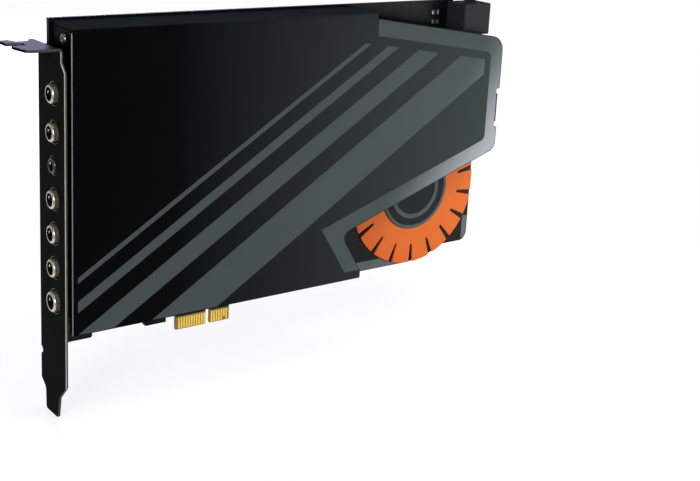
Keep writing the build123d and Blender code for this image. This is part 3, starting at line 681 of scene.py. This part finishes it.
def makeLining(brim):  # its mouth at the origin
    look = liningLook
    lining = addPiece(bpy.ops.mesh.primitive_cylinder_add, vertices=look["steps"], radius=look["radius"] * mm,
                      depth=look["length"] * mm, end_fill_type="NOTHING",
                      location=(look["length"] / 2 * mm, 0, 0), rotation=(0, quarter, 0))
    pickEdges(lining, lambda a, b: max(a.x, b.x) < meshRules["near"])
    drawOut(0, 0, 0)
    share = brim / look["radius"]
    bpy.ops.transform.resize(value=(1, share, share), center_override=(0, 0, 0))
    bpy.ops.mesh.select_all(action="SELECT")
    bpy.ops.mesh.normals_make_consistent(inside=True)  # faces look into the bore
    leaveEdit()
    useModifier(lining, "SOLIDIFY", thickness=look["wall"] * mm, offset=-1)
    smooth(lining)
    return lining


def makeTip():
    look = liningLook
    around, along = look["tipSteps"]
    tip = addPiece(bpy.ops.mesh.primitive_uv_sphere_add, look["tipSize"], segments=around, ring_count=along,
                   radius=mm, location=Vector(look["tip"]) * mm)
    sliceAll(tip, (0, look["radius"] - look["tipInset"], 0), (0, 1, 0), close=True, clear_outer=True)
    smooth(tip, meshRules["roundAngle"])
    return tip


def lineSockets():
    look = liningLook
    mouths = {}
    for bore in frame["record"]["mounts"]:
        if bore["kind"] == "bore":
            mouths[bore["name"]] = Vector(bore["pos_m"]) - Vector((bore["dims"]["length_mm"] / 2 * mm, 0, 0))
    narrow, wide, tip = makeLining(look["brim"]), makeLining(look["wideBrim"]), makeTip()
    linings = [copyOf(wide if name == look["wideSocket"] else narrow, place)
               for name, place in mouths.items() if name != look["smallSocket"]]
    small = copyOf(narrow, mouths[look["smallSocket"]])
    tips = [copyOf(tip, place) for place in mouths.values()]
    removePieces([narrow, wide, tip])
    finishPiece(joinPieces(linings), "SocketLinings", "jack_plastic")
    finishPiece(small, "SmallSocketLining", "sleeve_black")
    finishPiece(joinPieces(tips), "SpringTips", "tinned_metal", "solder")
    return len(mouths)


print("sockets lined:", lineSockets())


# Tinned end caps on the chip parts: length as a share of the part, the rest in mm
capLook = {"share": 0.24, "stand": 0.02, "ease": 0.05, "easeSteps": 2}


def makeCap(size):
    cap = addPiece(bpy.ops.mesh.primitive_cube_add, size * mm, size=1)
    easeAll(cap, capLook["ease"], capLook["easeSteps"])
    smooth(cap)
    return cap


def capChips():
    models, caps = {}, []
    for low, high in solidBoxes("chip_capacitors") + solidBoxes("chip_resistors"):
        size = high - low
        along = 0 if size.x > size.z else 2
        run = size[along] * capLook["share"]
        cap = size + Vector((1, 1, 1)) * capLook["stand"]
        cap[along] = run
        key = tuple(round(edge, 2) for edge in cap)
        if key not in models:
            models[key] = makeCap(cap)
        for end, side in ((low, 1), (high, -1)):
            place = (low + high) / 2
            place[along] = end[along] + side * (run / 2 - capLook["stand"])
            place.y -= capLook["stand"] / 2
            caps.append(copyOf(models[key], place * mm))
    removePieces(models.values())
    finishPiece(joinPieces(caps), "ChipEndCaps", "tinned_metal")
    return len(caps)


print("end caps:", capChips())


# Electrolytic cans: rolled groove, dished top
canLook = {
    "steps": 48,
    "groove": -4.4, "grooveWidth": 0.9, "grooveDepth": 0.09,         # mm, and depth as a share of the radius
    "grooveCuts": (-0.5, -0.25, 0.25, 0.5), "grooveFloor": 0.3,      # shares of its width
    "rim": 0.45, "dish": 0.18,       # mm
    "shoulder": 0.35, "shoulderSteps": 3,        # mm
}


def makeCan(radius, top, foot):
    look = canLook
    can = addPiece(bpy.ops.mesh.primitive_cylinder_add, vertices=look["steps"], radius=radius * mm,
                   depth=(foot - top) * mm, location=(0, (foot + top) / 2 * mm, 0), rotation=(quarter, 0, 0))
    for place in look["grooveCuts"]:
        sliceAll(can, (0, look["groove"] + place * look["grooveWidth"], 0), (0, 1, 0))
    pickEdges(can, lambda a, b: max(abs(a.y - look["groove"]), abs(b.y - look["groove"]))
              < look["grooveWidth"] * look["grooveFloor"])
    share = 1 - look["grooveDepth"]
    bpy.ops.transform.resize(value=(share, 1, share), center_override=(0, look["groove"] * mm, 0))
    pickFaces(can, lambda face: face.normal.y < -meshRules["facing"])
    bpy.ops.mesh.inset(thickness=look["rim"] * mm)
    bpy.ops.transform.translate(value=(0, look["dish"] * mm, 0))
    leaveEdit()
    useModifier(can, "BEVEL", width=look["shoulder"] * mm, segments=look["shoulderSteps"],
                limit_method="ANGLE", angle_limit=math.radians(meshRules["roundAngle"]))
    smooth(can)
    return can


def makeCans():
    models, made = {}, []
    for low, high in solidBoxes("electrolytic_capacitors"):
        radius = round((high.x - low.x) / 2, 2)
        if radius not in models:
            models[radius] = makeCan(radius, low.y, high.y)
        x, z = middleOf(low, high)
        made.append(copyOf(models[radius], (x * mm, 0, z * mm)))
    removePieces(models.values())
    finishPiece(joinPieces(made), "CapacitorCans", "can_aluminium", stands=["electrolytic_capacitors"])
    return len(made)


print("cans made:", makeCans())


# Legs of the plugged amplifiers: out of the body's side and down into the socket
legLook = {
    "width": 0.55, "thick": 0.25, "ease": 0.08,      # mm
    "level": -6.4,           # mm, where a leg leaves the body
    "reach": 0.45, "root": 0.1,      # mm, beyond the body's side and within it
    "pitch": 2.54, "steps": (-1.5, -0.5, 0.5, 1.5),
}


def makeLeg(bodySide, socketTop):
    look = legLook
    outer = bodySide + look["reach"]
    size = Vector((look["width"], look["thick"], look["reach"] + look["root"])) * mm
    leg = addPiece(bpy.ops.mesh.primitive_cube_add, size, size=1,
                   location=Vector((0, look["level"], (outer + bodySide - look["root"]) / 2)) * mm)
    pickFaces(leg, lambda face: face.normal.z > meshRules["facing"])
    drawOut(0, 0, look["thick"])
    pickFaces(leg, lambda face: face.normal.y > meshRules["facing"] and face.center.z > outer * mm)
    drawOut(0, socketTop - look["level"] - look["thick"] / 2, 0)
    leaveEdit()
    useModifier(leg, "BEVEL", width=look["ease"] * mm, segments=meshRules["easeSteps"], limit_method="ANGLE")
    smooth(leg)
    return leg


def makeLegs():
    boxes = solidBoxes("op_amps")
    low, high = boxes[0]
    upper = makeLeg((high.z - low.z) / 2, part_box("op_amp_sockets")[0][1] / mm)
    lower = copyOf(upper, (0, 0, 0))
    lower.data.transform(Matrix.Rotation(math.pi, 4, "Y"))
    made = []
    for low, high in boxes:
        x, z = middleOf(low, high)
        for step in legLook["steps"]:
            place = ((x + step * legLook["pitch"]) * mm, 0, z * mm)
            made += [copyOf(upper, place), copyOf(lower, place)]
    removePieces([upper, lower])
    finishPiece(joinPieces(made), "AmplifierLegs", "tinned_metal")
    return len(made)


print("legs made:", makeLegs())


# Solder joints on the board's back
solderLook = {
    "radius": 0.85, "height": 0.75, "stub": 0.35,        # mm
    "sink": 0.02,            # mm, into the board
    "crown": 0.93,           # normals over this carry the stub
    "steps": (14, 10),
    "through": ("jack_terminals", "power_pins", "panel_header_pins"),        # their own legs end on the board
    "below": {               # bodies without modelled legs: places along X and Z from each middle, mm
        "film_capacitors": ((-2.5, 2.5), (0,)),
        "relays": ((-5.08, -2.54, 2.54, 5.08), (-2.54, 2.54)),
        "op_amp_sockets": ((-3.81, -1.27, 1.27, 3.81), (-3.81, 3.81)),
        "oscillators": ((-2.44, 2.44), (0,)),
    },
}


def makeJoint():
    look = solderLook
    around, along = look["steps"]
    joint = addPiece(bpy.ops.mesh.primitive_uv_sphere_add, segments=around, ring_count=along,
                     radius=look["radius"] * mm, location=(0, boardBack * mm, 0), rotation=(quarter, 0, 0))
    sliceAll(joint, (0, boardBack - look["sink"], 0), (0, 1, 0), clear_inner=True)
    editAll(joint)
    bpy.ops.transform.resize(value=(1, look["height"] / look["radius"], 1),
                             center_override=(0, boardBack * mm, 0))
    pickFaces(joint, lambda face: face.normal.y > look["crown"])
    drawOut(0, look["stub"], 0)
    leaveEdit()
    smooth(joint, meshRules["roundAngle"])
    return joint


def feetOf(node):  # where the solids of a node stand on the board
    parts = looseParts(node)
    feet = []
    for part in parts:
        spots = [v.co / mm for v in part.data.vertices if v.co.y > (boardFront - meshRules["near"]) * mm]
        feet.append((sum(s.x for s in spots) / len(spots), sum(s.z for s in spots) / len(spots)))
    removePieces(parts)
    return feet


def makeJoints():
    places = [foot for node in solderLook["through"] for foot in feetOf(node)]
    for node, (across, up) in solderLook["below"].items():
        for x, z in [middleOf(low, high) for low, high in solidBoxes(node)]:
            places += [(x + side, z + row) for row in up for side in across]
    first = makeJoint()
    made = [copyOf(first, (x * mm, 0, z * mm)) for x, z in places]
    removePieces([first])
    finishPiece(joinPieces(made), "SolderJoints", "tinned_metal", "solder")
    return len(made)


print("solder joints:", makeJoints())


# Printed bands on the cover: flat bars of ink, cut to the sheet's edges. Places are X and Z in mm.
coverPrint = {
    "ink": 0.03,             # mm, thickness of the ink
    "angle": 32.0,           # degrees, how the bars rise
    "bars": [(0.0, 13.0), (17.0, 6.5), (28.0, 3.2), (35.5, 1.6)],    # distance from the first bar, width
    "start": (-18.0, 12.05),     # a point on the first bar's middle line
    "run": (-140, 260),      # how far a bar runs before it is cut
    "left": -55.8, "low": 12.35, "right": 117.9, "high": 107.4,      # field of the bars
    "clearance": 3.0,        # mm between bars and border
    "border": 5.6,           # mm
    "margin": 0.3,           # mm, bare sheet outside the border
    "spare": 20,             # mm, how far its sides overrun before they are cut
    "borderLow": 15.3, "borderLeft": 57.3,       # where the border ends
    "edge": [(55.2, 15.0), (45.9, 29.8), (117.9, 54.1), (117.9, 97.05), (56.9, 106.9)],      # of the sheet
    "topSide": 3,            # the side of that edge along the sloping top
    "corners": [(45.5, 29.9, 3.9), (117.6, 54.3, 2.9), (117.6, 96.8, 4.9),       # rounded corners and cuts
                (112.0, 58.4, 1.6), (112.0, 92.1, 2.2)],
    "cornerSteps": 8,
    "notch": (118.1, 70.175), "notchSize": (3.4, 15.0),      # the sheet's bend and its two reliefs
    "notchEase": 0.3, "notchSteps": 3,
}
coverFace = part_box("cover")[0][1] / mm       # the cover's front


def onCover(point):
    return Vector((point[0], coverFace, point[1]))


def leftOf(run):
    return Vector((-run.y, run.x)).normalized()


def edgeRun(i):  # direction of the sheet's edge after its corner i
    return (Vector(coverPrint["edge"][i + 1]) - Vector(coverPrint["edge"][i])).normalized()


def inkBar(start, end, width):  # a flat bar from start to end, width to its left
    run = end - start
    middle = onCover(start + run / 2 + leftOf(run) * width / 2) * mm
    bar = addPiece(bpy.ops.mesh.primitive_plane_add, (run.length * mm, width * mm, 1), size=1,
                   location=middle, rotation=(quarter, 0, 0))
    editAll(bar)
    bpy.ops.transform.rotate(value=math.atan2(run.y, run.x), orient_axis="Y", center_override=middle)
    leaveEdit()
    return bar


def cutBar(bar, point, away):  # removes what lies beyond a line through point, where away points to
    sliceAll(bar, onCover(point), (away[0], 0, away[1]), clear_outer=True)


def makeBars():
    look = coverPrint
    turn = math.radians(look["angle"])
    along = Vector((math.cos(turn), math.sin(turn)))
    up = leftOf(along)
    gap = look["border"] + look["margin"] + look["clearance"]
    inward = leftOf(edgeRun(look["topSide"]))
    cuts = [((0, look["low"]), (0, -1)), ((look["left"], 0), (-1, 0)), ((0, look["high"]), (0, 1)),
            ((look["right"] - gap, 0), (1, 0)),
            (Vector(look["edge"][look["topSide"]]) + inward * gap, -inward)]
    made = []
    for distance, width in look["bars"]:
        lower = Vector(look["start"]) + up * (distance - width / 2)
        bar = inkBar(lower + along * look["run"][0], lower + along * look["run"][1], width)
        for point, away in cuts:
            cutBar(bar, point, away)
        made.append(bar)
    bars = joinPieces(made)
    useModifier(bars, "SOLIDIFY", thickness=look["ink"] * mm, offset=1)
    finishPiece(bars, "CoverBars", "cover_paint", "cover_print")


def roundCorner(flat, x, z, cut):
    nearest = min(flat.data.vertices, key=lambda v: (v.co.xz - Vector((x, z)) * mm).length).index
    editPiece(flat, "VERT", "DESELECT")
    leaveEdit()
    flat.data.vertices[nearest].select = True
    bpy.ops.object.mode_set(mode="EDIT")
    bpy.ops.mesh.bevel(offset=cut * mm, segments=coverPrint["cornerSteps"], affect="VERTICES",
                       clamp_overlap=True)
    leaveEdit()


def makeBorder():
    look = coverPrint
    edge = [Vector(corner) for corner in look["edge"]]
    last = len(edge) - 2
    made = []
    for i in range(last + 1):
        run = edgeRun(i)
        inset = leftOf(run) * look["margin"]
        bar = inkBar(edge[i] + inset - run * look["spare"], edge[i + 1] + inset + run * look["spare"],
                     look["border"])
        if i > 0:
            cutBar(bar, edge[i], -(edgeRun(i - 1) + run).normalized())
        if i < last:
            cutBar(bar, edge[i + 1], (run + edgeRun(i + 1)).normalized())
        made.append(bar)
    cutBar(made[0], (0, look["borderLow"]), (0, -1))
    cutBar(made[last], (look["borderLeft"], 0), (-1, 0))
    border = joinPieces(made)
    mergeFaces(border, meshRules["near"])
    for x, z, cut in look["corners"]:
        roundCorner(border, x, z, cut)
    useModifier(border, "SOLIDIFY", thickness=look["ink"] * mm, offset=1)
    wide, tall = look["notchSize"]
    size = Vector((wide, meshRules["cutDepth"], tall)) * mm
    cutter = addPiece(bpy.ops.mesh.primitive_cube_add, size, size=1, location=onCover(look["notch"]) * mm)
    easeAll(cutter, look["notchEase"], look["notchSteps"])
    cutAway(border, cutter)
    finishPiece(border, "CoverBorder", "cover_paint", "cover_print")


makeBars()
makeBorder()
print("cover print laid")


# Studio
studio = {
    "floorLevel": cadBox[0][2] / mm,     # mm, the bracket's tip
    "floorSize": 12000,      # mm
    "floorColour": "#f4f4f4",
    "shade": 0.30,           # share of the floor's light that takes shadow
    "glow": (0.75, 0.95),    # the rest, beside the card and far off, where the lamps fade
    "glowReach": (300, 1200),    # mm from the card
    "flag": (-145, -92),     # mm, in front of here the card mirrors a dark studio
    "flagAlong": (0.617, 1.0, 0.0),
    "flagDark": 0.02,
    "white": "#ffffff",      # glow, surroundings and lamps that state no colour
    "ambient": 0.24,
    "lamps": [               # place and target in mm, size in mm, watts
        dict(name="leftKey", at=(-700, -450, 240), to=(-40, 0, 50), size=(300, 300), watts=4.0),
        dict(name="rightSoft", at=(222, -158, 34), to=(100, -15, 50), size=(150, 96), watts=0.22),
        dict(name="topSoft", at=(0, -150, 900), to=(20, 0, 60), size=(600, 500), watts=3.0),
        dict(name="frontTop", at=(160, -370, 490), to=(-60, -8, 55), size=(200, 200), watts=0.8),
        dict(name="backRim", at=(240, 800, 250), to=(-60, 0, 100), size=(300, 250), watts=9.0,
             colour="#c9c8f0"),
    ],
}


def makeFloor():
    # pale floor paint: white to the eye, with a faint shadow below the card
    floor = addPiece(bpy.ops.mesh.primitive_plane_add, size=studio["floorSize"] * mm,
                     location=(0, 0, studio["floorLevel"] * mm))
    floor.name = "studioFloor"
    made, tree, shader = startMaterial("paleFloorPaint")
    tree.nodes.remove(shader)
    coords = put(tree, "ShaderNodeTexCoord").outputs["Object"]
    path = put(tree, "ShaderNodeLightPath").outputs
    seen = put(tree, "ShaderNodeMath", {0: path["Is Camera Ray"], 1: path["Is Glossy Ray"]},
               operation="MAXIMUM")
    seen = put(tree, "ShaderNodeMath", {0: seen, 1: path["Is Transmission Ray"]}, operation="MAXIMUM")
    colour = linear(studio["floorColour"])
    shaded = (*(part * studio["shade"] for part in colour[:3]), 1.0)
    plain = put(tree, "ShaderNodeBsdfDiffuse", {"Color": colour})
    dim = put(tree, "ShaderNodeBsdfDiffuse", {"Color": shaded})
    away = put(tree, "ShaderNodeVectorMath", {0: coords}, operation="LENGTH")
    near, far = studio["glowReach"]
    beside, beyond = studio["glow"]
    white = put(tree, "ShaderNodeMapRange", {0: away.outputs["Value"], 1: near * mm, 2: far * mm,
                                             3: beside, 4: beyond})
    place = put(tree, "ShaderNodeVectorMath", {0: coords, 1: studio["flagAlong"]}, operation="DOT_PRODUCT")
    outer, inner = studio["flag"]
    mirrored = put(tree, "ShaderNodeMapRange", {0: place.outputs["Value"], 1: outer * mm, 2: inner * mm,
                                                3: studio["flagDark"], 4: 1.0})
    shown = put(tree, "ShaderNodeMath", {0: mirrored, 1: path["Is Camera Ray"]}, operation="MAXIMUM")
    level = put(tree, "ShaderNodeMath", {0: white, 1: shown}, operation="MULTIPLY")
    glow = put(tree, "ShaderNodeEmission", {"Color": linear(studio["white"]), "Strength": level})
    both = put(tree, "ShaderNodeAddShader", {0: dim, 1: glow})
    mix = put(tree, "ShaderNodeMixShader", {0: seen, 1: plain, 2: both})
    setInputs(tree, tree.nodes["Material Output"], {"Surface": mix})
    floor.data.materials.append(made)


def makeLights():
    for lamp in studio["lamps"]:
        light = bpy.data.lights.new(lamp["name"], "AREA")
        light.shape = "RECTANGLE"
        light.size, light.size_y = (side * mm for side in lamp["size"])
        light.energy = lamp["watts"]
        light.color = linear(lamp.get("colour", studio["white"]))[:3]
        holder = bpy.data.objects.new(lamp["name"], light)
        bpy.context.scene.collection.objects.link(holder)
        holder.location = Vector(lamp["at"]) * mm
        holder.rotation_mode = "QUATERNION"
        holder.rotation_quaternion = (Vector(lamp["to"]) - Vector(lamp["at"])).to_track_quat("-Z", "Y")
    world = bpy.data.worlds.new("studioWorld")
    bpy.context.scene.world = world
    world.use_nodes = True
    back = world.node_tree.nodes["Background"]
    back.inputs["Color"].default_value = linear(studio["white"])
    back.inputs["Strength"].default_value = studio["ambient"]


photoView = {
    "place": (-215.16, -355.06, 168.28),     # mm
    "yaw": 37.761, "pitch": 14.958, "roll": 3.156,       # degrees
    "lens": 64.771, "sensor": 36,        # mm, for a 700 by 481 frame
    "rise": -0.10,           # lens shift, as upright edges stay nearly upright in the photograph
    "clip": (10, 50000),     # mm, nearest and farthest that is seen
}


def makeCamera():
    yaw, pitch, roll = (math.radians(photoView[key]) for key in ("yaw", "pitch", "roll"))
    ahead = Vector((math.sin(yaw) * math.cos(pitch), math.cos(yaw) * math.cos(pitch), -math.sin(pitch)))
    level = Vector((math.cos(yaw), -math.sin(yaw), 0))
    rise = level.cross(ahead)
    right = level * math.cos(roll) + rise * math.sin(roll)
    up = rise * math.cos(roll) - level * math.sin(roll)
    lens = bpy.data.cameras.new("photoCamera")
    lens.sensor_width = photoView["sensor"]
    lens.lens = photoView["lens"]
    lens.shift_y = photoView["rise"]
    lens.clip_start, lens.clip_end = (reach * mm for reach in photoView["clip"])
    camera = bpy.data.objects.new("photoCamera", lens)
    bpy.context.scene.collection.objects.link(camera)
    turn = Matrix((right, up, -ahead)).transposed()
    camera.matrix_world = Matrix.Translation(Vector(photoView["place"]) * mm) @ turn.to_4x4()
    bpy.context.scene.camera = camera


makeFloor()
makeLights()
makeCamera()
bpy.context.scene.view_settings.view_transform = "Standard"
print("studio set")
